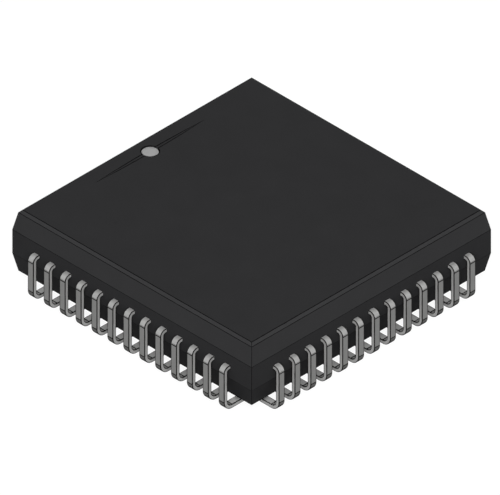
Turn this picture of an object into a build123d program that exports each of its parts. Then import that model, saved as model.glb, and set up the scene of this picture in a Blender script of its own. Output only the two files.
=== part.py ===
from build123d import *
import math
import os

# A 52-lead plastic leaded chip carrier: a square moulded block that stands on
# thirteen J-shaped leads along each side. The origin is the centre of the
# seating plane, +Z is up, and the index mark lies along the -X edge of the top.
# All lengths are in millimetres.

# Lead pattern
SIDES = 4
QUARTER_TURN = 90  # degrees
LEADS_PER_SIDE = 13
PITCH = 1.27
CORNER_MARGIN = 1.94  # from the centre of a side's last lead to the corner of the band

# Moulding, from the board upwards
STANDOFF = 0.86
LOWER_TAPER_HEIGHT = 1.24
BAND_HEIGHT = 1.62  # upright band that the leads leave through
UPPER_TAPER_HEIGHT = 1.18
DRAFT_DEGREES = 11.3  # lean of both tapers
CHAMFER_HEIGHT = 0.18
CHAMFER_INSET = 0.175

# Leads, stamped and bent from one strip
STRIP_THICKNESS = 0.254
STRIP_DROP = 0.035  # the strip's middle lies this far below the middle of the band
LEAD_WIDTH = 0.45
EXIT_LAND = 0.105  # straight metal between the band and the upper bend
UPPER_BEND_INSIDE = 0.116
FOOT_BEND_INSIDE = 0.376
FOOT_FLAT = 1.005  # flat part of the foot
BEND_CHORDS = 5  # flat facets that make up each quarter bend

# Inner fingers, which fan in from the band towards the paddle
FINGER_STRAIGHT = 0.65  # full-width metal just inside the band
FINGER_TIP_WIDTH = 0.28
FINGER_TIP_GAP = 0.60  # from the edge of the paddle to the tips, seen from above
FAN_CORNER_GAP = 0.68  # from a side's last tip to the line of the next side's tips

# Die, paddle and tie bars
DIE_SIZE = 5.60
DIE_THICKNESS = 0.38
ATTACH_THICKNESS = 0.03
ATTACH_MARGIN = 0.15  # adhesive seen round the die
PADDLE_MARGIN = 0.90  # paddle seen round the die
PADDLE_DOWNSET = 0.30
TIE_WIDTH = 0.40
TIE_LEVEL = 0.30  # from the corner of the paddle to the foot of the slope
TIE_SLOPE = 0.50  # length of the slope, seen from above
TIE_COVER = 0.60  # from the end of a tie bar to the corner of the band

# Bond wires
WIRE_THICKNESS = 0.033
PAD_EDGE_INSET = 0.12  # from the edge of the die to its bond pads
PAD_CORNER_INSET = 0.40  # from the corner of the die to the last bond pad
LOOP_RISE = 0.22  # from the top of the die to the top of a loop
LOOP_RUN = 0.30  # from the bond pad to the top of the loop, seen from above
STITCH_INSET = 0.35  # from the tip of a finger to the end of its wire

# Marks in the moulding
MARK_INSET = 1.04  # from the edge of the top face to the middle of the index mark
DIMPLE_DIAMETER = 1.00
DIMPLE_DEPTH = 0.10
INK_THICKNESS = 0.05
INK_CLEARANCE = 0.01
GROOVE_LENGTH = 8.40
GROOVE_WIDTH = 0.16
GROOVE_DEPTH = 0.025
EJECTOR_INSET = 3.80  # from the edge of the underside to the middle of a pin mark
EJECTOR_DIAMETER = 1.60
EJECTOR_DEPTH = 0.05

# Levels that follow
BAND_BOTTOM = STANDOFF + LOWER_TAPER_HEIGHT
BAND_TOP = BAND_BOTTOM + BAND_HEIGHT
UPPER_TAPER_TOP = BAND_TOP + UPPER_TAPER_HEIGHT
TOP = UPPER_TAPER_TOP + CHAMFER_HEIGHT
STRIP_MIDDLE = (BAND_BOTTOM + BAND_TOP) / 2 - STRIP_DROP
STRIP_BOTTOM = STRIP_MIDDLE - STRIP_THICKNESS / 2
STRIP_TOP = STRIP_MIDDLE + STRIP_THICKNESS / 2
PADDLE_BOTTOM = STRIP_BOTTOM - PADDLE_DOWNSET
PADDLE_TOP = STRIP_TOP - PADDLE_DOWNSET
DIE_BOTTOM = PADDLE_TOP + ATTACH_THICKNESS
DIE_TOP = DIE_BOTTOM + DIE_THICKNESS

# Half widths that follow
DRAFT_RATIO = math.tan(math.radians(DRAFT_DEGREES))
SIDE_STEPS = LEADS_PER_SIDE - 1
BAND_HALF = SIDE_STEPS * PITCH / 2 + CORNER_MARGIN
UNDERSIDE_HALF = BAND_HALF - LOWER_TAPER_HEIGHT * DRAFT_RATIO
UPPER_TAPER_HALF = BAND_HALF - UPPER_TAPER_HEIGHT * DRAFT_RATIO
TOP_HALF = UPPER_TAPER_HALF - CHAMFER_INSET
DIE_HALF = DIE_SIZE / 2
PADDLE_HALF = DIE_HALF + PADDLE_MARGIN
MARK_MIDDLE = MARK_INSET - TOP_HALF

# Lead sizes that follow
UPPER_BEND_CENTRE = BAND_HALF + EXIT_LAND
FOOT_BEND_CENTRE = UPPER_BEND_CENTRE + UPPER_BEND_INSIDE - FOOT_BEND_INSIDE
FOOT_TIP = FOOT_BEND_CENTRE - FOOT_FLAT
FINGER_KNEE = BAND_HALF - FINGER_STRAIGHT
FINGER_TIP = PADDLE_HALF + FINGER_TIP_GAP
TIP_PITCH = 2 * (FINGER_TIP - FAN_CORNER_GAP - FINGER_TIP_WIDTH / 2) / SIDE_STEPS
PAD_PITCH = 2 * (DIE_HALF - PAD_CORNER_INSET) / SIDE_STEPS


def polygon(*points):
    """Flat face with straight edges through the points."""
    return make_face(Polyline(*points, close=True))


def upright_prism(points, bottom, height):
    """Prism on a plan outline, from one level upwards."""
    return Pos(0, 0, bottom) * extrude(polygon(*points), height)


def steps_from_middle(place):
    """Lead pitches from the middle of a side to one of its places."""
    return place - SIDE_STEPS / 2


def pin_number(side, place):
    """Numbers run counter-clockwise from the lead beside the index mark, seen from above."""
    lead_count = SIDES * LEADS_PER_SIDE
    from_first_corner = side * LEADS_PER_SIDE + place
    return (from_first_corner - LEADS_PER_SIDE // 2) % lead_count + 1


def turned_to_side(shape, side):
    """Turn a piece made for the +X side to its own side: -X first, then counter-clockwise."""
    return Rot(0, 0, (SIDES / 2 + side) * QUARTER_TURN) * shape


def block():
    """Outer form of the moulding: two crossed prisms of the same outline, mitred at the corners."""
    right = [
        (UNDERSIDE_HALF, STANDOFF),
        (BAND_HALF, BAND_BOTTOM),
        (BAND_HALF, BAND_TOP),
        (UPPER_TAPER_HALF, UPPER_TAPER_TOP),
        (TOP_HALF, TOP),
    ]
    left = [(-across, level) for across, level in reversed(right)]
    outline = polygon(*right, *left)
    along_y = extrude(Plane.XZ * outline, BAND_HALF, both=True)
    along_x = extrude(Plane.YZ * outline, BAND_HALF, both=True)
    return along_y & along_x


def index_groove():
    """Slender lens between two shallow arcs, cut into the top along the index edge."""
    half_length = GROOVE_LENGTH / 2
    half_width = GROOVE_WIDTH / 2
    near_arc = ThreePointArc((0, -half_length), (half_width, 0), (0, half_length))
    far_arc = ThreePointArc((0, half_length), (-half_width, 0), (0, -half_length))
    lens = make_face(near_arc + far_arc)
    return Pos(MARK_MIDDLE, 0, TOP - GROOVE_DEPTH) * extrude(lens, GROOVE_DEPTH)


def index_dimple():
    """Round dimple for the ink of the index mark."""
    dimple = Cylinder(DIMPLE_DIAMETER / 2, DIMPLE_DEPTH)
    return Pos(MARK_MIDDLE, 0, TOP - DIMPLE_DEPTH / 2) * dimple


def ejector_marks():
    """Four round dimples where the mould's ejector pins push on the underside."""
    out = UNDERSIDE_HALF - EJECTOR_INSET
    mark = Cylinder(EJECTOR_DIAMETER / 2, EJECTOR_DEPTH)
    middle = STANDOFF + EJECTOR_DEPTH / 2
    return [Pos(x, y, middle) * mark for x in (-out, out) for y in (-out, out)]


def finger(steps):
    """Inner part of a lead, from its tip beside the paddle to the knee inside the band."""
    tip = steps * TIP_PITCH
    knee = steps * PITCH
    outline = [
        (FINGER_TIP, tip - FINGER_TIP_WIDTH / 2),
        (FINGER_KNEE, knee - LEAD_WIDTH / 2),
        (FINGER_KNEE, knee + LEAD_WIDTH / 2),
        (FINGER_TIP, tip + FINGER_TIP_WIDTH / 2),
    ]
    return upright_prism(outline, STRIP_BOTTOM, STRIP_THICKNESS)


def quarter_bend(centre, level, radius, start_degrees):
    """Points along a bend that turns a quarter clockwise, in equal chords."""
    ends = range(BEND_CHORDS + 1)
    angles = [math.radians(start_degrees - QUARTER_TURN * end / BEND_CHORDS) for end in ends]
    return [(centre + radius * math.cos(angle), level + radius * math.sin(angle)) for angle in angles]


def strip_face(depth):
    """Side view of the bent strip's outer face, or of a line at a depth below that face."""
    upper_radius = UPPER_BEND_INSIDE + STRIP_THICKNESS - depth
    foot_radius = FOOT_BEND_INSIDE + STRIP_THICKNESS - depth
    return [
        (FINGER_KNEE, STRIP_TOP - depth),
        *quarter_bend(UPPER_BEND_CENTRE, STRIP_BOTTOM - UPPER_BEND_INSIDE, upper_radius, QUARTER_TURN),
        *quarter_bend(FOOT_BEND_CENTRE, STRIP_THICKNESS + FOOT_BEND_INSIDE, foot_radius, 0),
        (FOOT_TIP, depth),
    ]


def hook(steps):
    """Outer part of a lead: out of the band, down the shank and in along the foot."""
    side_view = polygon(*strip_face(0), *reversed(strip_face(STRIP_THICKNESS)))
    strip = extrude(Plane.XZ * side_view, LEAD_WIDTH / 2, both=True)
    return Pos(0, steps * PITCH, 0) * strip


def lead(side, place):
    """One stamped and bent lead, from the tip of its finger to the tip of its foot."""
    steps = steps_from_middle(place)
    return turned_to_side(finger(steps) + hook(steps), side)


def tie_bar():
    """Bar from a corner of the paddle, up the downset and out towards the corner of the block."""
    paddle_corner = PADDLE_HALF * math.sqrt(2)
    slope_foot = paddle_corner + TIE_LEVEL
    slope_head = slope_foot + TIE_SLOPE
    end = BAND_HALF * math.sqrt(2) - TIE_COVER
    lower = [
        (paddle_corner - TIE_WIDTH, PADDLE_BOTTOM),
        (slope_foot, PADDLE_BOTTOM),
        (slope_head, STRIP_BOTTOM),
        (end, STRIP_BOTTOM),
    ]
    upper = [(out, level + STRIP_THICKNESS) for out, level in reversed(lower)]
    return extrude(Plane.XZ * polygon(*lower, *upper), TIE_WIDTH / 2, both=True)


def die_paddle():
    """Square paddle with a tie bar at each corner, in one piece."""
    plate = Box(2 * PADDLE_HALF, 2 * PADDLE_HALF, STRIP_THICKNESS)
    paddle = Pos(0, 0, (PADDLE_BOTTOM + PADDLE_TOP) / 2) * plate
    for side in range(SIDES):
        paddle += Rot(0, 0, (side + 1 / 2) * QUARTER_TURN) * tie_bar()
    return paddle


def die_attach():
    """Layer of adhesive between the paddle and the die, squeezed out a little all round."""
    size = DIE_SIZE + 2 * ATTACH_MARGIN
    return Pos(0, 0, (PADDLE_TOP + DIE_BOTTOM) / 2) * Box(size, size, ATTACH_THICKNESS)


def die():
    """Silicon die."""
    return Pos(0, 0, (DIE_BOTTOM + DIE_TOP) / 2) * Box(DIE_SIZE, DIE_SIZE, DIE_THICKNESS)


def bond_wire(side, place):
    """Wire that rises from its pad on the die and slopes down to a stitch on its finger."""
    steps = steps_from_middle(place)
    pad = Vector(DIE_HALF - PAD_EDGE_INSET, steps * PAD_PITCH, DIE_TOP)
    share = STITCH_INSET / (FINGER_KNEE - FINGER_TIP)
    stitch_across = steps * (TIP_PITCH + share * (PITCH - TIP_PITCH))
    stitch = Vector(FINGER_TIP + STITCH_INSET, stitch_across, DIE_TOP)
    along = (stitch - pad).normalized()
    reach = (stitch - pad).length
    drop = DIE_TOP - STRIP_TOP
    pad_land = WIRE_THICKNESS * LOOP_RUN / LOOP_RISE
    stitch_land = WIRE_THICKNESS * (reach - LOOP_RUN) / (LOOP_RISE + drop)
    loop = polygon(
        (0, 0),
        (pad_land, 0),
        (LOOP_RUN, LOOP_RISE - WIRE_THICKNESS),
        (reach - stitch_land, -drop),
        (reach, -drop),
        (LOOP_RUN, LOOP_RISE),
    )
    wire_plane = Plane(origin=pad, x_dir=along, z_dir=along.cross(Vector(0, 0, 1)))
    wire = extrude(wire_plane * loop, WIRE_THICKNESS / 2, both=True)
    return turned_to_side(wire, side)


def pin_1_mark():
    """Disc of ink on the floor of the dimple, a little below the top of the block."""
    disc = Cylinder(DIMPLE_DIAMETER / 2 - INK_CLEARANCE, INK_THICKNESS)
    middle = TOP - DIMPLE_DEPTH + INK_THICKNESS / 2
    return Pos(MARK_MIDDLE, 0, middle) * disc


def moulded_body(inner_pieces):
    """Block with its marks, moulded round everything that it holds."""
    marks = [index_groove(), index_dimple(), *ejector_marks()]
    return block().cut(*marks, *inner_pieces)


def write_part(name, shape):
    """Write one piece as a STEP file that carries its name."""
    shape.label = name
    export_step(shape, f"parts/{name}.step")


def main():
    places = [(side, place) for side in range(SIDES) for place in range(LEADS_PER_SIDE)]
    leads = {pin_number(side, place): lead(side, place) for side, place in places}
    wires = [bond_wire(side, place) for side, place in places]
    pieces = {
        "die_paddle": die_paddle(),
        "die_attach": die_attach(),
        "die": die(),
    }
    body = moulded_body([*leads.values(), *pieces.values(), *wires])

    os.makedirs("parts", exist_ok=True)
    write_part("moulded_body", body)
    for pin, shape in sorted(leads.items()):
        write_part(f"lead_{pin:02d}", shape)
    for name, shape in pieces.items():
        write_part(name, shape)
    write_part("bond_wires", Compound(children=wires))
    write_part("pin_1_mark", pin_1_mark())


main()
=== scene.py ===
"""Looks of a 52-lead plastic leaded chip carrier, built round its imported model.

The block is filled epoxy, moulded round a stamped lead strip. Thirteen J leads leave
each side and fold under it. Pieces are shaped in millimetres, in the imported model's
own frame, and then brought down to metres.
"""

import logging
import math
from collections.abc import Callable, Iterator, Mapping, Sequence
from contextlib import contextmanager
from dataclasses import dataclass, field
from enum import Enum, IntEnum
from typing import Any

import bmesh
import bpy
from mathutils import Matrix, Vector


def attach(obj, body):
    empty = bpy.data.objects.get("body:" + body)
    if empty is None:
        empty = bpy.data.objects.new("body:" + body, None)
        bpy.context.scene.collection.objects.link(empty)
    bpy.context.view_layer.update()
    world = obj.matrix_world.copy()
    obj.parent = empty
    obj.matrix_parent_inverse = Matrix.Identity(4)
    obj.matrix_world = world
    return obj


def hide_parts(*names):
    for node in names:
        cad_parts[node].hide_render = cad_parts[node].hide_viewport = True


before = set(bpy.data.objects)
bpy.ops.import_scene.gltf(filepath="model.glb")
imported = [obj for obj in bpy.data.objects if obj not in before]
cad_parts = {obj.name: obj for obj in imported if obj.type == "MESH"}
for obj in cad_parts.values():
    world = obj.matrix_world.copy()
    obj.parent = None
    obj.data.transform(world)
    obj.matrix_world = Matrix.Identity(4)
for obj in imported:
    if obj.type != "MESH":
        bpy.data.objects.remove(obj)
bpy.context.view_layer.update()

log = logging.getLogger("chip_carrier")

MM = 0.001
PHOTO_WIDTH, PHOTO_HEIGHT = 500, 495
QUARTER = math.pi / 2
WHITE = "#ffffff"

# Places nearer to each other than this, in millimetres, are the same place.
SAME_PLACE = 1e-4

# A face looks along an axis when the axis has more than this share of its normal.
SQUARE_ON = 0.9

# Degrees past which an edge is a corner, and past which it isn't inside a flat face.
SHARP_TURN = 60
SLIGHT_TURN = 5

# Straight sides of a drawn circle.
ROUND_SIDES = 96


def linear(hex_colour: str) -> tuple[float, float, float, float]:
    """Turns an sRGB hex colour to linear light.

    Args:
        hex_colour: The colour, as in "#2a2a2b".

    Returns:
        Red, green, blue and an alpha of 1.
    """
    shares = [int(hex_colour[at : at + 2], 16) / 255 for at in (1, 3, 5)]
    red, green, blue = (
        share / 12.92 if share <= 0.04045 else ((share + 0.055) / 1.055) ** 2.4
        for share in shares
    )
    return red, green, blue, 1.0


def per_metre(size_mm: float) -> float:
    """Pattern scale, in repeats per metre, that gives features of a size in millimetres."""
    return 1 / (size_mm * MM)


def add_node(
    tree: bpy.types.NodeTree,
    kind: str,
    values: Mapping[str | int, Any] | None = None,
    links: Mapping[str | int, bpy.types.NodeSocket] | None = None,
    **settings: Any,
) -> bpy.types.Node:
    """Adds one node with its settings, fixed values and incoming links.

    Args:
        tree: The node tree that gets the node.
        kind: The node's type, as in "ShaderNodeBump".
        values: Fixed values by input name or number.
        links: Sources by input name or number.
        **settings: Properties of the node itself.

    Returns:
        The new node.
    """
    node = tree.nodes.new(kind)
    for name, setting in settings.items():
        setattr(node, name, setting)
    for socket, value in (values or {}).items():
        node.inputs[socket].default_value = value
    for socket, source in (links or {}).items():
        tree.links.new(source, node.inputs[socket])
    return node


class Stroke(Enum):
    """Which way a pattern's grain runs."""

    EVEN = (1.0, 1.0, 1.0)
    UPRIGHT = (1.0, 1.0, 0.12)
    CROSSWISE = (0.15, 1.0, 1.0)


class Pick(Enum):
    """What edit mode selects."""

    POINTS = "VERT"
    EDGES = "EDGE"
    FACES = "FACE"


class Keep(Enum):
    """What a cut leaves of a piece: what lies outside its cutter, or inside it."""

    OUTSIDE = "DIFFERENCE"
    INSIDE = "INTERSECT"


class Axis(IntEnum):
    """The ways in which a bend line is measured, by their places in a vector."""

    OUT = 0
    UP = 2


class LeadFace(IntEnum):
    """The kinds of face on a lead, numbered as its material slots."""

    PLAIN = 0
    WORN = 1
    FLANK = 2
    WIPED = 3
    UNTOUCHED = 4
    DULLED = 5
    RUBBED = 6
    CUT_END = 7


class BlockFace(IntEnum):
    """The kinds of face on the block, numbered as its material slots."""

    PLAIN = 0
    EDGE = 1
    CHAMFER = 2
    DRAWN = 3
    SETTLED = 4


@dataclass(frozen=True)
class Finish:
    """One material and how its surface was made; some also carry painted light or shade in their
    colour.

    Its tint follows a fine grain and a broad cloud of noise, and its relief and gloss
    follow the grain alone.
    """

    name: str
    colour: str
    second_colour: str
    metallic: float
    roughness: tuple[float, float]
    specular: float
    grain_mm: float
    cloud_mm: float
    relief_mm: float
    stroke: Stroke = Stroke.EVEN
    grain_octaves: float = 3.0
    cloud_octaves: float = 2.0
    cloud_share: float = 0.4
    octave_fade: float = 0.6
    usual_noise: tuple[float, float] = (0.3, 0.7)

    def pattern(
        self,
        tree: bpy.types.NodeTree,
        size_mm: float,
        detail: float,
        coordinates: bpy.types.NodeSocket,
    ) -> bpy.types.NodeSocket:
        """Adds one noise pattern.

        Args:
            tree: The material's node tree.
            size_mm: Size of one feature.
            detail: Octaves of finer noise.
            coordinates: Where the pattern is read.

        Returns:
            The pattern's value, about 0 to 1.
        """
        noise = add_node(
            tree,
            "ShaderNodeTexNoise",
            {"Scale": per_metre(size_mm), "Detail": detail, "Roughness": self.octave_fade},
            {"Vector": coordinates},
        )
        return noise.outputs["Fac"]

    def spread(
        self,
        tree: bpy.types.NodeTree,
        source: bpy.types.NodeSocket,
        low: float,
        high: float,
    ) -> bpy.types.NodeSocket:
        """Spreads the values that noise usually has over a range of its own.

        Args:
            tree: The material's node tree.
            source: The noise value.
            low: Result at the dark end.
            high: Result at the light end.

        Returns:
            The new value.
        """
        least, most = self.usual_noise
        span = add_node(
            tree,
            "ShaderNodeMapRange",
            {"From Min": least, "From Max": most, "To Min": low, "To Max": high},
            {"Value": source},
        )
        return span.outputs["Result"]

    def material(self) -> bpy.types.Material:
        """Makes the finish's node material, or returns the one made before.

        Returns:
            The material, named for the finish.
        """
        made = bpy.data.materials.get(self.name)
        if made is not None:
            return made
        made = bpy.data.materials.new(self.name)
        made.use_nodes = True
        tree = made.node_tree
        tree.nodes.clear()
        place = add_node(tree, "ShaderNodeTexCoord").outputs["Object"]
        stroked = add_node(
            tree,
            "ShaderNodeMapping",
            {"Scale": self.stroke.value},
            {"Vector": place},
        ).outputs["Vector"]
        grain = self.pattern(tree, self.grain_mm, self.grain_octaves, stroked)
        cloud = self.pattern(tree, self.cloud_mm, self.cloud_octaves, place)
        both = add_node(
            tree,
            "ShaderNodeMix",
            {"Factor": self.cloud_share},
            {"A": grain, "B": cloud},
            data_type="FLOAT",
        )
        tint = add_node(
            tree,
            "ShaderNodeMix",
            {"A": linear(self.colour), "B": linear(self.second_colour)},
            {"Factor": self.spread(tree, both.outputs["Result"], 0.0, 1.0)},
            data_type="RGBA",
        )
        relief = add_node(
            tree,
            "ShaderNodeBump",
            {"Strength": 1.0, "Distance": self.relief_mm * MM},
            {"Height": grain},
        )
        surface = add_node(
            tree,
            "ShaderNodeBsdfPrincipled",
            {"Metallic": self.metallic, "Specular IOR Level": self.specular},
            {
                "Base Color": tint.outputs["Result"],
                "Roughness": self.spread(tree, grain, *self.roughness),
                "Normal": relief.outputs["Normal"],
            },
        )
        add_node(
            tree,
            "ShaderNodeOutputMaterial",
            links={"Surface": surface.outputs["BSDF"]},
        )
        return made


# Silica-filled epoxy moulding compound, straight from a spark-eroded mould: a dull
# charcoal with a fine, even tooth. The real tooth is about 0.03 mm, and it is drawn at
# 0.11 mm so that it shows.
MOULDED_EPOXY = Finish(
    name="filled_epoxy_moulded",
    colour="#2b2b2c",
    second_colour="#2f2f30",
    metallic=0.0,
    roughness=(0.72, 0.85),
    specular=0.015,
    grain_mm=0.11,
    cloud_mm=2.4,
    relief_mm=0.003,
)

# The same compound on the taper above the parting line: a little smoother, and painted
# paler as painted light, because this taper leans towards the light.
EPOXY_TAPER_PAINTED_LIGHT = Finish(
    name="filled_epoxy_taper_painted_light",
    colour="#2e2e2f",
    second_colour="#323233",
    metallic=0.0,
    roughness=(0.55, 0.66),
    specular=0.04,
    grain_mm=0.11,
    cloud_mm=2.4,
    relief_mm=0.002,
)

# The same compound on the taper below the parting line and on the underside: a little
# smoother, and painted a deeper black as painted shade, because these faces turn down.
EPOXY_PAINTED_SHADE_BELOW = Finish(
    name="filled_epoxy_lower_painted_shade",
    colour="#1d1d1e",
    second_colour="#212122",
    metallic=0.0,
    roughness=(0.55, 0.66),
    specular=0.04,
    grain_mm=0.11,
    cloud_mm=2.4,
    relief_mm=0.002,
)

# The same compound on the chamfer round the top, painted paler: painted light, because
# the chamfer leans towards the light.
EPOXY_CHAMFER = Finish(
    name="filled_epoxy_chamfer_painted_light",
    colour="#303031",
    second_colour="#353536",
    metallic=0.0,
    roughness=(0.55, 0.66),
    specular=0.04,
    grain_mm=0.1,
    cloud_mm=1.8,
    relief_mm=0.003,
)

# The same compound on the rounded edges of the block and round its groove, dimple and
# ejector marks, painted near black with less tooth: painted shade that draws dark lines
# along the edges and round the marks.
EPOXY_EDGE = Finish(
    name="filled_epoxy_edge_painted_shade",
    colour="#040404",
    second_colour="#070707",
    metallic=0.0,
    roughness=(0.6, 0.7),
    specular=0.0,
    grain_mm=0.11,
    cloud_mm=1.2,
    relief_mm=0.001,
)

# Matt electroplated tin over copper alloy: a soft grey with a satin grain of about
# 0.06 mm that the forming tools have wiped into faint upright streaks.
MATTE_TIN = Finish(
    name="tin_matte_electroplated",
    colour="#757574",
    second_colour="#7b7b7a",
    metallic=0.3,
    roughness=(0.4, 0.5),
    specular=0.3,
    grain_mm=0.06,
    cloud_mm=0.7,
    relief_mm=0.0015,
    stroke=Stroke.UPRIGHT,
)

# The same tin on the sides of the strip and in the hollow of the foot, with hardly any
# grain and painted paler: painted light that offsets the shade of the neighbouring
# leads and of the block.
TIN_FLANK = Finish(
    name="tin_flank_painted_light",
    colour="#9e9e9d",
    second_colour="#a7a7a6",
    metallic=0.1,
    roughness=(0.42, 0.52),
    specular=0.3,
    grain_mm=0.05,
    cloud_mm=0.6,
    relief_mm=0.0008,
)

# The same tin on the upper face of the strip, from the finger down the upper bend to
# where it turns outward, painted bright: a painted highlight on the faces that turn up.
TIN_BEND_PAINTED_HIGHLIGHT = Finish(
    name="tin_bend_painted_highlight",
    colour="#9b9b9a",
    second_colour="#a6a6a5",
    metallic=0.2,
    roughness=(0.38, 0.46),
    specular=0.3,
    grain_mm=0.06,
    cloud_mm=0.5,
    relief_mm=0.001,
)

# The same tin on top of the foot, under the block, painted paler: painted light that offsets the
# block's shade.
TIN_FOOT_PAINTED_LIGHT = Finish(
    name="tin_foot_top_painted_light",
    colour="#b3b3b2",
    second_colour="#bdbdbc",
    metallic=0.1,
    roughness=(0.45, 0.55),
    specular=0.3,
    grain_mm=0.06,
    cloud_mm=0.7,
    relief_mm=0.0015,
)

# The same tin on the outside of the foot's bend, just under the shank, painted darker and
# duller: painted shade where the bend starts to turn down.
TIN_BEND_PAINTED_SHADE = Finish(
    name="tin_foot_bend_painted_shade",
    colour="#5e5e5d",
    second_colour="#676766",
    metallic=0.0,
    roughness=(0.55, 0.65),
    specular=0.03,
    grain_mm=0.06,
    cloud_mm=0.4,
    relief_mm=0.0012,
)

# The same tin further round the outside of the foot's bend, before it turns flat, painted
# near black: painted shade where the bend faces further down.
TIN_BEND_PAINTED_DEEP_SHADE = Finish(
    name="tin_foot_bend_painted_deep_shade",
    colour="#2b2b2a",
    second_colour="#343433",
    metallic=0.0,
    roughness=(0.6, 0.7),
    specular=0.0,
    grain_mm=0.06,
    cloud_mm=0.4,
    relief_mm=0.0012,
)

# The rounded stamped corners of the strip and the bands where each bend starts, painted
# near black: painted shade that draws dark lines along them.
STAMPED_EDGE = Finish(
    name="tin_edge_painted_dark",
    colour="#100f0f",
    second_colour="#161514",
    metallic=0.15,
    roughness=(0.5, 0.62),
    specular=0.05,
    grain_mm=0.05,
    cloud_mm=0.5,
    relief_mm=0.001,
)

# Copper alloy as it was cut or stamped: a warm pinkish brown with shear streaks.
BARE_ALLOY = Finish(
    name="copper_alloy_bare_stamped",
    colour="#a8694c",
    second_colour="#b87a5a",
    metallic=1.0,
    roughness=(0.3, 0.45),
    specular=0.5,
    grain_mm=0.08,
    cloud_mm=1.6,
    relief_mm=0.002,
    stroke=Stroke.CROSSWISE,
)

# Silver-filled die attach, cured: a dull light grey paste with fine flakes.
SILVER_EPOXY = Finish(
    name="silver_filled_epoxy_cured",
    colour="#8f8f8c",
    second_colour="#a5a5a2",
    metallic=0.35,
    roughness=(0.45, 0.6),
    specular=0.5,
    grain_mm=0.04,
    cloud_mm=0.6,
    relief_mm=0.003,
)

# Polished silicon under its oxide: a dark blue-grey mirror.
POLISHED_SILICON = Finish(
    name="silicon_polished_oxide",
    colour="#4a4f5c",
    second_colour="#545a68",
    metallic=0.7,
    roughness=(0.1, 0.16),
    specular=0.5,
    grain_mm=0.2,
    cloud_mm=1.5,
    relief_mm=0.0002,
)

# Drawn gold bond wire, annealed: a bright, warm yellow with a soft gleam.
DRAWN_GOLD = Finish(
    name="gold_drawn_wire",
    colour="#e8b955",
    second_colour="#f0c566",
    metallic=1.0,
    roughness=(0.2, 0.3),
    specular=0.5,
    grain_mm=0.02,
    cloud_mm=0.3,
    relief_mm=0.0003,
)

# Pad-printed epoxy ink, cured: a flat light grey with a faint orange-peel skin.
MARKING_INK = Finish(
    name="epoxy_ink_pad_printed",
    colour="#989898",
    second_colour="#a2a2a2",
    metallic=0.0,
    roughness=(0.45, 0.58),
    specular=0.3,
    grain_mm=0.09,
    cloud_mm=0.4,
    relief_mm=0.003,
)


LEAD_FINISHES = {
    LeadFace.PLAIN: MATTE_TIN,
    LeadFace.WORN: STAMPED_EDGE,
    LeadFace.FLANK: TIN_FLANK,
    LeadFace.WIPED: TIN_BEND_PAINTED_HIGHLIGHT,
    LeadFace.UNTOUCHED: TIN_FOOT_PAINTED_LIGHT,
    LeadFace.DULLED: TIN_BEND_PAINTED_SHADE,
    LeadFace.RUBBED: TIN_BEND_PAINTED_DEEP_SHADE,
    LeadFace.CUT_END: BARE_ALLOY,
}

BLOCK_FINISHES = {
    BlockFace.PLAIN: MOULDED_EPOXY,
    BlockFace.EDGE: EPOXY_EDGE,
    BlockFace.CHAMFER: EPOXY_CHAMFER,
    BlockFace.DRAWN: EPOXY_TAPER_PAINTED_LIGHT,
    BlockFace.SETTLED: EPOXY_PAINTED_SHADE_BELOW,
}

INNER_FINISHES = {
    "die_paddle": BARE_ALLOY,
    "die_attach": SILVER_EPOXY,
    "die": POLISHED_SILICON,
    "bond_wires": DRAWN_GOLD,
}


def only(piece: bpy.types.Object) -> None:
    """Makes one object the active one, with nothing else selected.

    Args:
        piece: The object.
    """
    bpy.ops.object.select_all(action="DESELECT")
    piece.select_set(True)
    bpy.context.view_layer.objects.active = piece


@contextmanager
def editing(piece: bpy.types.Object, kind: Pick = Pick.FACES) -> Iterator[None]:
    """Holds one object in edit mode, with nothing in it selected at the start.

    Args:
        piece: The object.
        kind: What is selected there.

    Yields:
        Nothing.
    """
    only(piece)
    bpy.ops.object.mode_set(mode="EDIT")
    bpy.ops.mesh.select_mode(type=kind.value)
    bpy.ops.mesh.select_all(action="DESELECT")
    yield
    bpy.ops.object.mode_set(mode="OBJECT")


def pick_faces(piece: bpy.types.Object, fits: Callable[[bmesh.types.BMFace], bool]) -> None:
    """Selects the faces that fit, and nothing else, in edit mode.

    Args:
        piece: The object in edit mode.
        fits: Says whether a face is wanted.
    """
    bpy.ops.mesh.select_all(action="DESELECT")
    mesh = bmesh.from_edit_mesh(piece.data)
    wanted = [face for face in mesh.faces if fits(face)]
    for face in wanted:
        face.select_set(True)
    bmesh.update_edit_mesh(piece.data)


def pick_edges(piece: bpy.types.Object, fits: Callable[[bmesh.types.BMEdge], bool]) -> int:
    """Selects the edges that fit, and nothing else, in edit mode.

    Args:
        piece: The object in edit mode.
        fits: Says whether an edge is wanted.

    Returns:
        How many were selected.
    """
    bpy.ops.mesh.select_all(action="DESELECT")
    mesh = bmesh.from_edit_mesh(piece.data)
    wanted = [edge for edge in mesh.edges if fits(edge)]
    for edge in wanted:
        edge.select_set(True)
    bmesh.update_edit_mesh(piece.data)
    return len(wanted)


def turns(edge: bmesh.types.BMEdge, degrees: float) -> bool:
    """Says whether the two faces at an edge differ by more than an angle."""
    return len(edge.link_faces) == 2 and edge.calc_face_angle() > math.radians(degrees)


def cut_end(edge: bmesh.types.BMEdge, reaches: Sequence[float]) -> bool:
    """Says whether an edge lies wholly at one of some places along X."""
    return any(
        all(abs(vert.co.x - reach) < SAME_PLACE for vert in edge.verts) for reach in reaches
    )


def at_level(edge: bmesh.types.BMEdge, level: float) -> bool:
    """Says whether an edge lies wholly at a level."""
    return all(abs(vert.co.z - level) < SAME_PLACE for vert in edge.verts)


def extrude(shift: Sequence[float]) -> None:
    """Extrudes the selected faces by a vector."""
    bpy.ops.mesh.extrude_region_move(TRANSFORM_OT_translate={"value": tuple(shift)})


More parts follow.
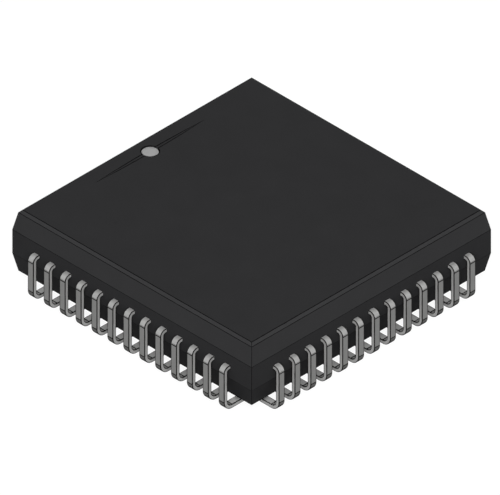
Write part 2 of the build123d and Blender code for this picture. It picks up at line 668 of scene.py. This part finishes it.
def cut(piece: bpy.types.Object, cutter: bpy.types.Object, keep: Keep = Keep.OUTSIDE) -> None:
    """Cuts a piece with another object, which is then deleted.

    Args:
        piece: The piece that is cut.
        cutter: The object that cuts it.
        keep: What is left of the piece.
    """
    cutter.data.materials.clear()
    only(piece)
    step = piece.modifiers.new("cut", "BOOLEAN")
    step.object = cutter
    step.operation = keep.value
    step.solver = "EXACT"
    bpy.ops.object.modifier_apply(modifier=step.name)
    bpy.data.objects.remove(cutter)


def settle_scale(piece: bpy.types.Object) -> None:
    """Brings a piece shaped in millimetres down to metres, with its place in its mesh.

    Args:
        piece: The piece, in millimetres.
    """
    only(piece)
    bpy.ops.transform.resize(value=(MM, MM, MM), center_override=(0, 0, 0))
    bpy.ops.object.transform_apply(location=True, rotation=True, scale=True)


def soften(piece: bpy.types.Object, degrees: float) -> None:
    """Shades rounded edges smoothly and keeps the flats beside them flat.

    Args:
        piece: The piece.
        degrees: Edges that turn by more than this stay sharp.
    """
    only(piece)
    bpy.ops.object.shade_smooth_by_angle(angle=math.radians(degrees))
    step = piece.modifiers.new("flats", "WEIGHTED_NORMAL")
    step.keep_sharp = True
    bpy.ops.object.modifier_apply(modifier=step.name)


def add_slots(piece: bpy.types.Object, finishes: Mapping[IntEnum, Finish]) -> None:
    """Gives a piece a material slot for each kind of face that it has.

    Args:
        piece: The piece.
        finishes: The finish of each kind of face.
    """
    for kind in sorted(finishes):
        piece.data.materials.append(finishes[kind].material())


def hand_over(piece: bpy.types.Object, slot: str, *nodes: str) -> None:
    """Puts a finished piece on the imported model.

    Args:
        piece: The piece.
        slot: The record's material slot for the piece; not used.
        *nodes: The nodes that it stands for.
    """
    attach(piece, "root")
    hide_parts(*nodes)
    log.info("%s: %d faces", piece.name, len(piece.data.polygons))


@dataclass(frozen=True)
class BendLine:
    """A band across the strip where a bend starts, painted dark as painted shade, between two
    places on one axis.
    """

    axis: Axis
    low: float
    high: float
    below: float = math.inf

    def holds(self, place: Vector) -> bool:
        """Says whether a place on the lead lies on the line."""
        return place.z < self.below and self.low < place[self.axis] < self.high


@dataclass
class JLeads:
    """The fifty-two leads, each one stamped strip from its inner finger to its foot.

    The pattern lead is shaped on the +X side, from the tip of its foot out, up and
    back in to the tip of its finger. Lengths are in millimetres. A turn is the upward
    share of a face's normal: the highlight turn is where the painted highlight ends on
    the upper bend, and the two shade turns are where the darkest painted shade starts
    and ends on the foot's bend.
    """

    sides: int = 4
    per_side: int = 13
    pitch: float = 1.27
    thickness: float = 0.254
    width: float = 0.45
    foot_tip: float = 8.4
    foot_centre: float = 9.405
    foot_inside: float = 0.376
    upper_centre: float = 9.665
    upper_level: float = 2.632
    knee: float = 8.91
    finger_tip: float = 4.3
    finger_tip_width: float = 0.28
    finger_tip_pitch: float = 0.58
    bend_steps: int = 12
    line_on_straight: float = 0.048
    line_on_bend: float = 0.027
    edge_band: float = 0.046
    edge_square: float = 0.8
    edge_segments: int = 4
    highlight_turn: float = 0.25
    shade_turns: tuple[float, float] = (-0.4, -0.8)
    tip_reach: float = 0.1
    smooth_below: float = 50.0
    pieces: list[bpy.types.Object] = field(default_factory=list)

    @property
    def foot_level(self) -> float:
        """Level where the bend of the foot ends and the shank begins."""
        return self.thickness + self.foot_inside

    def pattern(self) -> bpy.types.Object:
        """Shapes the lead that all the others are copied from.

        Returns:
            The pattern lead, in millimetres.
        """
        bpy.ops.mesh.primitive_plane_add(
            size=1, location=(self.foot_tip, 0, self.thickness / 2), rotation=(0, -QUARTER, 0)
        )
        lead = bpy.context.object
        lead.name = "pattern_lead"
        lead.scale = (self.thickness, self.width, 1)
        bpy.ops.object.transform_apply(location=True, rotation=True, scale=True)
        with editing(lead):
            bpy.ops.mesh.select_all(action="SELECT")
            extrude((self.foot_centre - self.foot_tip, 0, 0))
            self.bend(self.foot_centre, self.foot_level)
            extrude((0, 0, self.upper_level - self.foot_level))
            self.bend(self.upper_centre, self.upper_level)
            extrude((self.knee - self.upper_centre, 0, 0))
            extrude((self.finger_tip - self.knee, 0, 0))
            narrowing = self.finger_tip_width / self.width
            bpy.ops.transform.resize(value=(1, narrowing, 1), center_override=(0, 0, 0))
            bpy.ops.mesh.select_all(action="SELECT")
            bpy.ops.mesh.normals_make_consistent(inside=False)
            self.score(lead)
        self.dress(lead)
        return lead

    def bend(self, centre: float, level: float) -> None:
        """Bends the open end of the strip a quarter turn about a line across it.

        Args:
            centre: How far out the line lies.
            level: The line's level.
        """
        bpy.ops.mesh.spin(
            steps=self.bend_steps, angle=QUARTER, center=(centre, 0, level), axis=(0, 1, 0)
        )

    def bend_lines(self) -> tuple[BendLine, ...]:
        """Works out the line on the foot and the one at each end of the shank.

        Returns:
            The three lines, each a little more on the straight strip than on the bend.
        """
        straight, bent = self.line_on_straight, self.line_on_bend
        foot_start, foot_end = self.foot_centre - straight, self.foot_centre + bent
        return (
            BendLine(Axis.OUT, foot_start, foot_end, self.foot_level),
            BendLine(Axis.UP, self.foot_level - bent, self.foot_level + straight),
            BendLine(Axis.UP, self.upper_level - straight, self.upper_level + bent),
        )

    def score(self, lead: bpy.types.Object) -> None:
        """Cuts the faces of the lead along both sides of each bend line.

        Args:
            lead: The pattern lead, in edit mode.
        """
        for line in self.bend_lines():
            heading = Vector((0, 0, 0))
            heading[line.axis] = 1
            for place in (line.low, line.high):
                pick_faces(lead, lambda face: face.calc_center_median().z < line.below)
                bpy.ops.mesh.bisect(plane_co=heading * place, plane_no=heading)

    def face_kind(self, face: bmesh.types.BMFace) -> LeadFace:
        """Says which kind of face a face of the lead is, by its place and heading.

        Args:
            face: A face of the pattern lead, before its edges are rounded.

        Returns:
            The kind of face.
        """
        middle = face.calc_center_median()
        # The flanks take the paler tin: painted light.
        if abs(face.normal.y) > SQUARE_ON:
            return LeadFace.FLANK
        if abs(middle.x - self.foot_tip) < SAME_PLACE:
            return LeadFace.CUT_END
        # The band where each bend starts is painted dark: painted shade.
        if any(line.holds(middle) for line in self.bend_lines()):
            return LeadFace.WORN
        # Faces of the upper bend that turn up take the bright tin: a painted highlight.
        if middle.z > self.upper_level:
            return LeadFace.WIPED if face.normal.z > self.highlight_turn else LeadFace.PLAIN
        if middle.z > self.foot_level:
            return LeadFace.PLAIN
        # Up-facing faces of the foot, under the block, take paler tin: painted light.
        if face.normal.z > 0:
            return LeadFace.UNTOUCHED if middle.x < self.foot_centre else LeadFace.FLANK
        # Down-turning faces of the foot's bend take darker tin: painted shade.
        first, last = self.shade_turns
        if face.normal.z < last:
            return LeadFace.PLAIN
        return LeadFace.RUBBED if face.normal.z < first else LeadFace.DULLED

    def dress(self, lead: bpy.types.Object) -> None:
        """Gives the pattern lead its finishes, with their painted light and shade, and its
        rounded stamped edges painted dark as painted shade.

        Args:
            lead: The pattern lead, with sharp edges.
        """
        add_slots(lead, LEAD_FINISHES)
        with editing(lead):
            mesh = bmesh.from_edit_mesh(lead.data)
            for face in mesh.faces:
                face.material_index = self.face_kind(face)
            bmesh.update_edit_mesh(lead.data)
            bpy.ops.mesh.select_mode(type=Pick.EDGES.value)
            tips = (self.foot_tip, self.finger_tip)
            pick_edges(lead, lambda edge: turns(edge, SHARP_TURN) and not cut_end(edge, tips))
            # The rounded corners take the dark tin: painted shade along the edges.
            bpy.ops.mesh.bevel(
                offset=self.edge_band,
                segments=self.edge_segments,
                profile=self.edge_square,
                affect="EDGES",
                material=LeadFace.WORN,
                clamp_overlap=False,
            )
        soften(lead, self.smooth_below)

    def copy(self, pattern: bpy.types.Object, side: int, place: int) -> bpy.types.Object:
        """Copies the pattern lead to one place.

        Args:
            pattern: The pattern lead.
            side: 0 is the -X side, and the rest follow counter-clockwise.
            place: 0 is the first lead of the side.

        Returns:
            The lead of that place, still in millimetres.
        """
        steps = place - (self.per_side - 1) / 2
        count = self.sides * self.per_side
        number = (side * self.per_side + place - self.per_side // 2) % count + 1
        only(pattern)
        bpy.ops.object.duplicate(linked=False)
        lead = bpy.context.object
        lead.name = f"j_lead_{number:02d}"
        with editing(lead, Pick.POINTS):
            mesh = bmesh.from_edit_mesh(lead.data)
            for vert in mesh.verts:
                vert.select_set(vert.co.x < self.finger_tip + self.tip_reach)
            bmesh.update_edit_mesh(lead.data)
            sideways = steps * (self.finger_tip_pitch - self.pitch)
            bpy.ops.transform.translate(value=(0, sideways, 0))
            bpy.ops.mesh.select_all(action="SELECT")
            bpy.ops.transform.translate(value=(0, steps * self.pitch, 0))
        only(lead)
        lead.rotation_euler.z = (self.sides / 2 + side) * QUARTER
        bpy.ops.object.transform_apply(location=True, rotation=True, scale=True)
        return lead

    def build(self) -> None:
        """Makes all the leads, still in millimetres."""
        pattern = self.pattern()
        for side in range(self.sides):
            for place in range(self.per_side):
                self.pieces.append(self.copy(pattern, side, place))
        bpy.data.objects.remove(pattern)

    def finish(self) -> None:
        """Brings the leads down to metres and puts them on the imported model."""
        for lead in self.pieces:
            settle_scale(lead)
            hand_over(lead, "tinned_lead", lead.name.removeprefix("j_"))


@dataclass
class MouldedBlock:
    """The epoxy block with its tapers, top chamfer and the marks of its mould.

    Lengths are in millimetres. A share is how much of edge_radius an edge is rounded by.
    The edges of the underside have all of it.
    """

    underside_half: float = 9.3122
    band_half: float = 9.56
    taper_half: float = 9.3242
    top_half: float = 9.1492
    standoff: float = 0.86
    lower_taper: float = 1.24
    band: float = 1.62
    upper_taper: float = 1.18
    chamfer: float = 0.18
    edge_radius: float = 0.075
    edge_square: float = 0.75
    edge_segments: int = 4
    rim_share: float = 0.24
    top_share: float = 0.32
    parting_share: float = 0.18
    step_share: float = 0.11
    dimple_at: float = -8.1092
    dimple_radius: float = 0.5
    dimple_depth: float = 0.1
    groove_length: float = 8.4
    groove_width: float = 0.16
    groove_depth: float = 0.025
    groove_sides: int = 1024
    ejector_out: float = 5.5122
    ejector_radius: float = 0.8
    ejector_depth: float = 0.05
    rim_radius: float = 0.01
    rim_segments: int = 2
    rim_slack: float = 0.001
    dark_ring_width: float = 0.06
    dark_ring_depth: float = 0.006
    dark_ring_stretch: float = 4.0
    weld_distance: float = 1e-5
    smooth_below: float = 35.0

    @property
    def top(self) -> float:
        """Level of the top face."""
        return self.standoff + self.lower_taper + self.band + self.upper_taper + self.chamfer

    def shell(self) -> bpy.types.Object:
        """Draws the block up from its underside, level by level.

        Returns:
            The block with rounded edges and no marks.
        """
        bpy.ops.mesh.primitive_plane_add(
            size=2 * self.underside_half, location=(0, 0, self.standoff)
        )
        block = bpy.context.object
        block.name = "epoxy_block"
        bpy.ops.object.transform_apply(location=True, rotation=True, scale=True)
        rises = (
            (self.lower_taper, self.band_half / self.underside_half),
            (self.band, 1.0),
            (self.upper_taper, self.taper_half / self.band_half),
            (self.chamfer, self.top_half / self.taper_half),
        )
        with editing(block):
            bpy.ops.mesh.select_all(action="SELECT")
            for rise, spread in rises:
                extrude((0, 0, rise))
                bpy.ops.transform.resize(value=(spread, spread, 1), center_override=(0, 0, 0))
            bpy.ops.mesh.select_all(action="SELECT")
            bpy.ops.mesh.normals_make_consistent(inside=False)
        add_slots(block, BLOCK_FINISHES)
        # Painted light on the chamfer and the upper taper, painted shade on the lower taper and
        # the underside.
        self.paint(block, BlockFace.CHAMFER, self.top - self.chamfer / 2)
        self.paint(block, BlockFace.DRAWN, self.top - self.chamfer - self.upper_taper / 2)
        self.paint(block, BlockFace.SETTLED, self.standoff + self.lower_taper / 2)
        self.paint(block, BlockFace.SETTLED, self.standoff)
        self.round_edges(block)
        return block

    def round_edges(self, block: bpy.types.Object) -> None:
        """Rounds the edges of the block, those of the underside the most, and paints the
        rounding dark as painted shade.

        Args:
            block: The block, with sharp edges.
        """
        foot = self.standoff + self.lower_taper
        head = self.top - self.chamfer - self.upper_taper
        with editing(block, Pick.EDGES):
            for share, fits in (
                (self.rim_share, lambda edge: turns(edge, SLIGHT_TURN)),
                (self.top_share - self.rim_share, lambda edge: at_level(edge, self.top)),
                (1 - self.rim_share, lambda edge: at_level(edge, self.standoff)),
                (self.parting_share - self.rim_share, lambda edge: at_level(edge, head)),
                (self.step_share - self.rim_share, lambda edge: at_level(edge, foot)),
            ):
                pick_edges(block, fits)
                bpy.ops.transform.edge_bevelweight(value=share)
        only(block)
        step = block.modifiers.new("edges", "BEVEL")
        step.limit_method = "WEIGHT"
        step.width = self.edge_radius
        step.segments = self.edge_segments
        step.profile = self.edge_square
        # The rounded faces take the near-black finish: painted shade along the edges.
        step.material = BlockFace.EDGE
        bpy.ops.object.modifier_apply(modifier=step.name)

    def paint(self, block: bpy.types.Object, kind: BlockFace, level: float) -> None:
        """Gives the faces centred on a level the finish of one kind of face.

        Args:
            block: The block.
            kind: The kind of face.
            level: The level of the faces' middles.
        """
        with editing(block):
            pick_faces(block, lambda face: abs(face.calc_center_median().z - level) < SAME_PLACE)
            block.active_material_index = kind
            bpy.ops.object.material_slot_assign()

    def round_cutter(
        self, centre: tuple[float, float, float], radius: float, depth: float
    ) -> bpy.types.Object:
        """Makes a round cutter that reaches a depth either side of its centre.

        Args:
            centre: The middle of what it cuts out of the face.
            radius: Its radius.
            depth: How deep it cuts.

        Returns:
            The cutter.
        """
        bpy.ops.mesh.primitive_cylinder_add(
            vertices=ROUND_SIDES, radius=radius, depth=2 * depth, location=centre
        )
        return bpy.context.object

    def groove_cutter(self, spread: float, depth: float) -> bpy.types.Object:
        """Makes the lens-shaped cutter where two wide discs cross.

        Args:
            spread: How far it reaches past the groove's sides. Past the groove's ends it
                reaches dark_ring_stretch times as far.
            depth: How deep it cuts.

        Returns:
            The cutter.
        """
        half_length = self.groove_length / 2 + self.dark_ring_stretch * spread
        half_width = self.groove_width / 2 + spread
        radius = (half_length**2 + half_width**2) / (2 * half_width)
        discs = []
        for hand in (-1, 1):
            bpy.ops.mesh.primitive_cylinder_add(
                vertices=self.groove_sides,
                radius=radius,
                depth=2 * depth,
                location=(self.dimple_at + hand * (radius - half_width), 0, self.top),
            )
            discs.append(bpy.context.object)
        cut(discs[0], discs[1], Keep.INSIDE)
        return discs[0]

    def mark(self, block: bpy.types.Object) -> None:
        """Cuts a shallow ring round the groove and the dimple, painted dark as painted shade,
        then the groove, the dimple and the ejector marks.

        Args:
            block: The block, with rounded edges and no marks.
        """
        line, skin = self.dark_ring_width, self.dark_ring_depth
        dimple = (self.dimple_at, 0, self.top)
        cut(block, self.groove_cutter(line, skin))
        cut(block, self.round_cutter(dimple, self.dimple_radius + line, skin))
        # The shallow ring takes the near-black finish: painted shade round the groove and the
        # dimple.
        self.paint(block, BlockFace.EDGE, self.top - skin)
        cut(block, self.groove_cutter(0, self.groove_depth))
        cut(block, self.round_cutter(dimple, self.dimple_radius, self.dimple_depth))
        for across in (-self.ejector_out, self.ejector_out):
            for along in (-self.ejector_out, self.ejector_out):
                centre = (across, along, self.standoff)
                cut(block, self.round_cutter(centre, self.ejector_radius, self.ejector_depth))

    def is_rim(self, edge: bmesh.types.BMEdge) -> bool:
        """Says whether an edge is on the rim of the dimple or of an ejector mark.

        Args:
            edge: An edge of the marked block.

        Returns:
            Whether it is on such a rim.
        """
        centre = Vector((self.dimple_at, 0, self.top - self.dark_ring_depth))
        reach = self.dimple_radius + self.rim_slack
        dimple = at_level(edge, centre.z) and all(
            (vert.co - centre).length < reach for vert in edge.verts
        )
        farthest = max(max(abs(vert.co.x), abs(vert.co.y)) for vert in edge.verts)
        ejector = at_level(edge, self.standoff) and farthest < self.top_half - self.edge_radius
        return (dimple or ejector) and edge.is_convex and turns(edge, SHARP_TURN)

    def round_rims(self, block: bpy.types.Object) -> None:
        """Rounds the rims of the dimple and of the ejector marks, and paints the rounding dark
        as painted shade.

        Args:
            block: The marked block.
        """
        with editing(block, Pick.EDGES):
            count = pick_edges(block, self.is_rim)
            bpy.ops.mesh.bevel(
                offset=self.rim_radius,
                segments=self.rim_segments,
                affect="EDGES",
                material=BlockFace.EDGE,
            )
        log.info("rim edges rounded: %d", count)

    def hollow(self, block: bpy.types.Object, leads: Sequence[bpy.types.Object]) -> None:
        """Takes out of the block what it was moulded round.

        Args:
            block: The block, in millimetres.
            leads: The finished leads, in millimetres.
        """
        bpy.ops.object.select_all(action="DESELECT")
        for lead in leads:
            lead.select_set(True)
        bpy.context.view_layer.objects.active = leads[0]
        bpy.ops.object.duplicate(linked=False)
        bpy.ops.object.join()
        cut(block, bpy.context.object)
        for name in INNER_FINISHES:
            copied = bpy.data.objects.new(f"{name}_space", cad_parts[name].data.copy())
            bpy.context.scene.collection.objects.link(copied)
            only(copied)
            copied.scale = (1 / MM, 1 / MM, 1 / MM)
            bpy.ops.object.transform_apply(location=True, rotation=True, scale=True)
            with editing(copied, Pick.POINTS):
                bpy.ops.mesh.select_all(action="SELECT")
                bpy.ops.mesh.remove_doubles(threshold=self.weld_distance)
            cut(block, copied)

    def build(self, leads: Sequence[bpy.types.Object]) -> None:
        """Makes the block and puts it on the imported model.

        Args:
            leads: The finished leads, in millimetres.
        """
        block = self.shell()
        self.mark(block)
        self.round_rims(block)
        self.hollow(block, leads)
        soften(block, self.smooth_below)
        settle_scale(block)
        hand_over(block, "moulding_compound", "moulded_body")


@dataclass
class IndexMark:
    """The ink that fills half the depth of the index dimple, with a slightly dished face.

    Lengths are in millimetres. The face sinks inside a ring that takes dish_share of
    its radius.
    """

    at: float
    floor_level: float
    thickness: float = 0.05
    radius: float = 0.49
    rim: float = 0.016
    rim_segments: int = 3
    sink: float = 0.006
    dish_share: float = 0.3
    smooth_below: float = 40.0

    def is_rim(self, edge: bmesh.types.BMEdge) -> bool:
        """Says whether an edge is on the upper rim of the disc.

        Args:
            edge: An edge of the disc.

        Returns:
            Whether it is on the upper rim.
        """
        lowest = min(vert.co.z for vert in edge.verts)
        return turns(edge, SHARP_TURN) and lowest > self.floor_level + self.rim

    def build(self) -> None:
        """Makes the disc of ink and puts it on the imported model."""
        bpy.ops.mesh.primitive_cylinder_add(
            vertices=ROUND_SIDES,
            radius=self.radius,
            depth=self.thickness,
            location=(self.at, 0, self.floor_level + self.thickness / 2),
        )
        disc = bpy.context.object
        disc.name = "index_ink_disc"
        bpy.ops.object.transform_apply(location=True, rotation=True, scale=True)
        with editing(disc):
            pick_faces(disc, lambda face: face.normal.z > SQUARE_ON)
            bpy.ops.mesh.inset(thickness=self.radius * self.dish_share)
            bpy.ops.transform.translate(value=(0, 0, -self.sink))
            bpy.ops.mesh.select_mode(type=Pick.EDGES.value)
            pick_edges(disc, self.is_rim)
            bpy.ops.mesh.bevel(offset=self.rim, segments=self.rim_segments, affect="EDGES")
        disc.data.materials.append(MARKING_INK.material())
        soften(disc, self.smooth_below)
        settle_scale(disc)
        hand_over(disc, "index_ink", "pin_1_mark")


@dataclass
class Insides:
    """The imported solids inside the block, which keep their shape and get a finish."""

    finishes: Mapping[str, Finish] = field(default_factory=lambda: INNER_FINISHES)

    def dress(self) -> None:
        """Gives each inner solid its finish."""
        for name, finish in self.finishes.items():
            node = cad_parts[name]
            for slot in node.material_slots:
                slot.material = finish.material()
            log.info("%s: %s", name, finish.name)


@dataclass(frozen=True)
class Softbox:
    """One square lamp that looks at the object. Lengths are in metres."""

    name: str
    direction: tuple[float, float, float]
    watts: float
    size: float = 0.3
    distance: float = 0.5

    def place(self, aim: Vector) -> None:
        """Puts the lamp in place, turned to the object.

        Args:
            aim: Where it looks.
        """
        data = bpy.data.lights.new(self.name, "AREA")
        data.shape = "SQUARE"
        data.size = self.size
        data.energy = self.watts
        lamp = bpy.data.objects.new(self.name, data)
        bpy.context.scene.collection.objects.link(lamp)
        back = Vector(self.direction).normalized()
        lamp.location = aim + back * self.distance
        lamp.rotation_euler = (-back).to_track_quat("-Z", "Y").to_euler()
        lamp.visible_camera = False


@dataclass
class Studio:
    """White floor, soft lamps and the camera of a true isometric view.

    Lengths are in metres, or in millimetres where the name says so. The walls and the
    ceiling of the world are given by the upward share of a direction.
    """

    azimuth: float = 45.0
    elevation: float = 35.264
    pixels_per_mm: float = 17.71
    origin_pixel: tuple[float, float] = (251.65, 283.2)
    camera_distance: float = 0.25
    camera_clip: tuple[float, float] = (0.001, 10.0)
    floor_size: float = 3.0
    floor_gap_mm: float = 0.01
    floor_colour: str = "#5a5a5a"
    floor_glow: float = 0.93
    wall_top: float = 0.03
    ceiling_edge: float = 0.2
    ceiling_brightness: float = 0.16
    aim_level_mm: float = 2.5
    softboxes: tuple[Softbox, ...] = (
        Softbox("key_softbox", (0.59, -0.59, 0.55), watts=2.8),
        Softbox("left_softbox", (-0.577, -0.577, 0.577), watts=0.3),
        Softbox("right_softbox", (0.577, 0.577, 0.577), watts=0.3),
        Softbox("rear_left_softbox", (-0.987, 0, 0.16), watts=1.6, size=0.14),
        Softbox("rear_right_softbox", (0, 0.987, 0.16), watts=1.6, size=0.14),
    )

    def camera(self) -> None:
        """Sets the camera, moved in its own plane so that the object lies as photographed."""
        turn, lift = math.radians(self.azimuth), math.radians(self.elevation)
        level = math.cos(lift)
        back = Vector((math.sin(turn) * level, -math.cos(turn) * level, math.sin(lift)))
        right = Vector((math.cos(turn), math.sin(turn), 0))
        up = back.cross(right)
        across = (PHOTO_WIDTH / 2 - self.origin_pixel[0]) / self.pixels_per_mm
        above = (self.origin_pixel[1] - PHOTO_HEIGHT / 2) / self.pixels_per_mm
        aim = (right * across + up * above) * MM
        data = bpy.data.cameras.new("isometric_camera")
        data.type = "ORTHO"
        data.ortho_scale = PHOTO_WIDTH / self.pixels_per_mm * MM
        data.clip_start, data.clip_end = self.camera_clip
        camera = bpy.data.objects.new("isometric_camera", data)
        bpy.context.scene.collection.objects.link(camera)
        camera.location = aim + back * self.camera_distance
        camera.rotation_euler = (-back).to_track_quat("-Z", "Y").to_euler()
        bpy.context.scene.camera = camera

    def seen(self, tree: bpy.types.NodeTree) -> bpy.types.NodeSocket:
        """Adds what says that a surface is looked at, straight or in a reflection.

        Args:
            tree: The node tree.

        Returns:
            A value of 1 where it is looked at and 0 where it gives light.
        """
        path = add_node(tree, "ShaderNodeLightPath")
        either = add_node(
            tree,
            "ShaderNodeMath",
            links={0: path.outputs["Is Camera Ray"], 1: path.outputs["Is Glossy Ray"]},
            operation="MAXIMUM",
        )
        every = add_node(
            tree,
            "ShaderNodeMath",
            links={0: either.outputs[0], 1: path.outputs["Is Transmission Ray"]},
            operation="MAXIMUM",
        )
        return every.outputs[0]

    def floor(self) -> None:
        """Lays the white floor, which glows where it is looked at and keeps the shadow.

        It lies a hair under the feet, so that they don't share its plane, and it is
        clear from below, so that the underside can be looked at.
        """
        bpy.ops.object.select_all(action="DESELECT")
        under_feet = (0, 0, -self.floor_gap_mm * MM)
        bpy.ops.mesh.primitive_plane_add(size=self.floor_size, location=under_feet)
        floor = bpy.context.object
        floor.name = "studio_floor"
        paper = bpy.data.materials.new("white_paper_floor")
        paper.use_nodes = True
        tree = paper.node_tree
        tree.nodes.clear()
        matt = add_node(tree, "ShaderNodeBsdfDiffuse", {"Color": linear(self.floor_colour)})
        strength = add_node(
            tree,
            "ShaderNodeMath",
            {1: self.floor_glow},
            {0: self.seen(tree)},
            operation="MULTIPLY",
        )
        glow = add_node(
            tree,
            "ShaderNodeEmission",
            {"Color": linear(WHITE)},
            {"Strength": strength.outputs[0]},
        )
        both = add_node(
            tree,
            "ShaderNodeAddShader",
            links={0: matt.outputs[0], 1: glow.outputs[0]},
        )
        side = add_node(tree, "ShaderNodeNewGeometry")
        clear = add_node(tree, "ShaderNodeBsdfTransparent")
        sheet = add_node(
            tree,
            "ShaderNodeMixShader",
            links={0: side.outputs["Backfacing"], 1: both.outputs[0], 2: clear.outputs[0]},
        )
        add_node(tree, "ShaderNodeOutputMaterial", links={"Surface": sheet.outputs[0]})
        floor.data.materials.append(paper)

    def world(self) -> None:
        """Sets white walls at eye level that dim towards a grey ceiling."""
        world = bpy.data.worlds.new("studio_air")
        bpy.context.scene.world = world
        world.use_nodes = True
        tree = world.node_tree
        tree.nodes.clear()
        place = add_node(tree, "ShaderNodeTexCoord")
        height = add_node(tree, "ShaderNodeSeparateXYZ", links={0: place.outputs["Generated"]})
        level = add_node(
            tree,
            "ShaderNodeMapRange",
            {
                "From Min": self.wall_top,
                "From Max": self.ceiling_edge,
                "To Min": 1.0,
                "To Max": self.ceiling_brightness,
            },
            {"Value": height.outputs["Z"]},
            interpolation_type="SMOOTHSTEP",
        )
        air = add_node(
            tree,
            "ShaderNodeBackground",
            {"Color": linear(WHITE)},
            {"Strength": level.outputs["Result"]},
        )
        add_node(tree, "ShaderNodeOutputWorld", links={"Surface": air.outputs[0]})

    def build(self) -> None:
        """Sets up the camera, floor, lamps and world."""
        self.camera()
        self.floor()
        self.world()
        aim = Vector((0, 0, self.aim_level_mm * MM))
        for softbox in self.softboxes:
            softbox.place(aim)
        bpy.context.scene.view_settings.view_transform = "Standard"


def main() -> None:
    """Builds the studio and then the part, sub-assembly by sub-assembly."""
    logging.basicConfig(level=logging.INFO, format="%(name)s: %(message)s")
    Studio().build()
    leads = JLeads()
    leads.build()
    block = MouldedBlock()
    block.build(leads.pieces)
    leads.finish()
    IndexMark(at=block.dimple_at, floor_level=block.top - block.dimple_depth).build()
    Insides().dress()


if __name__ == "__main__":
    main()
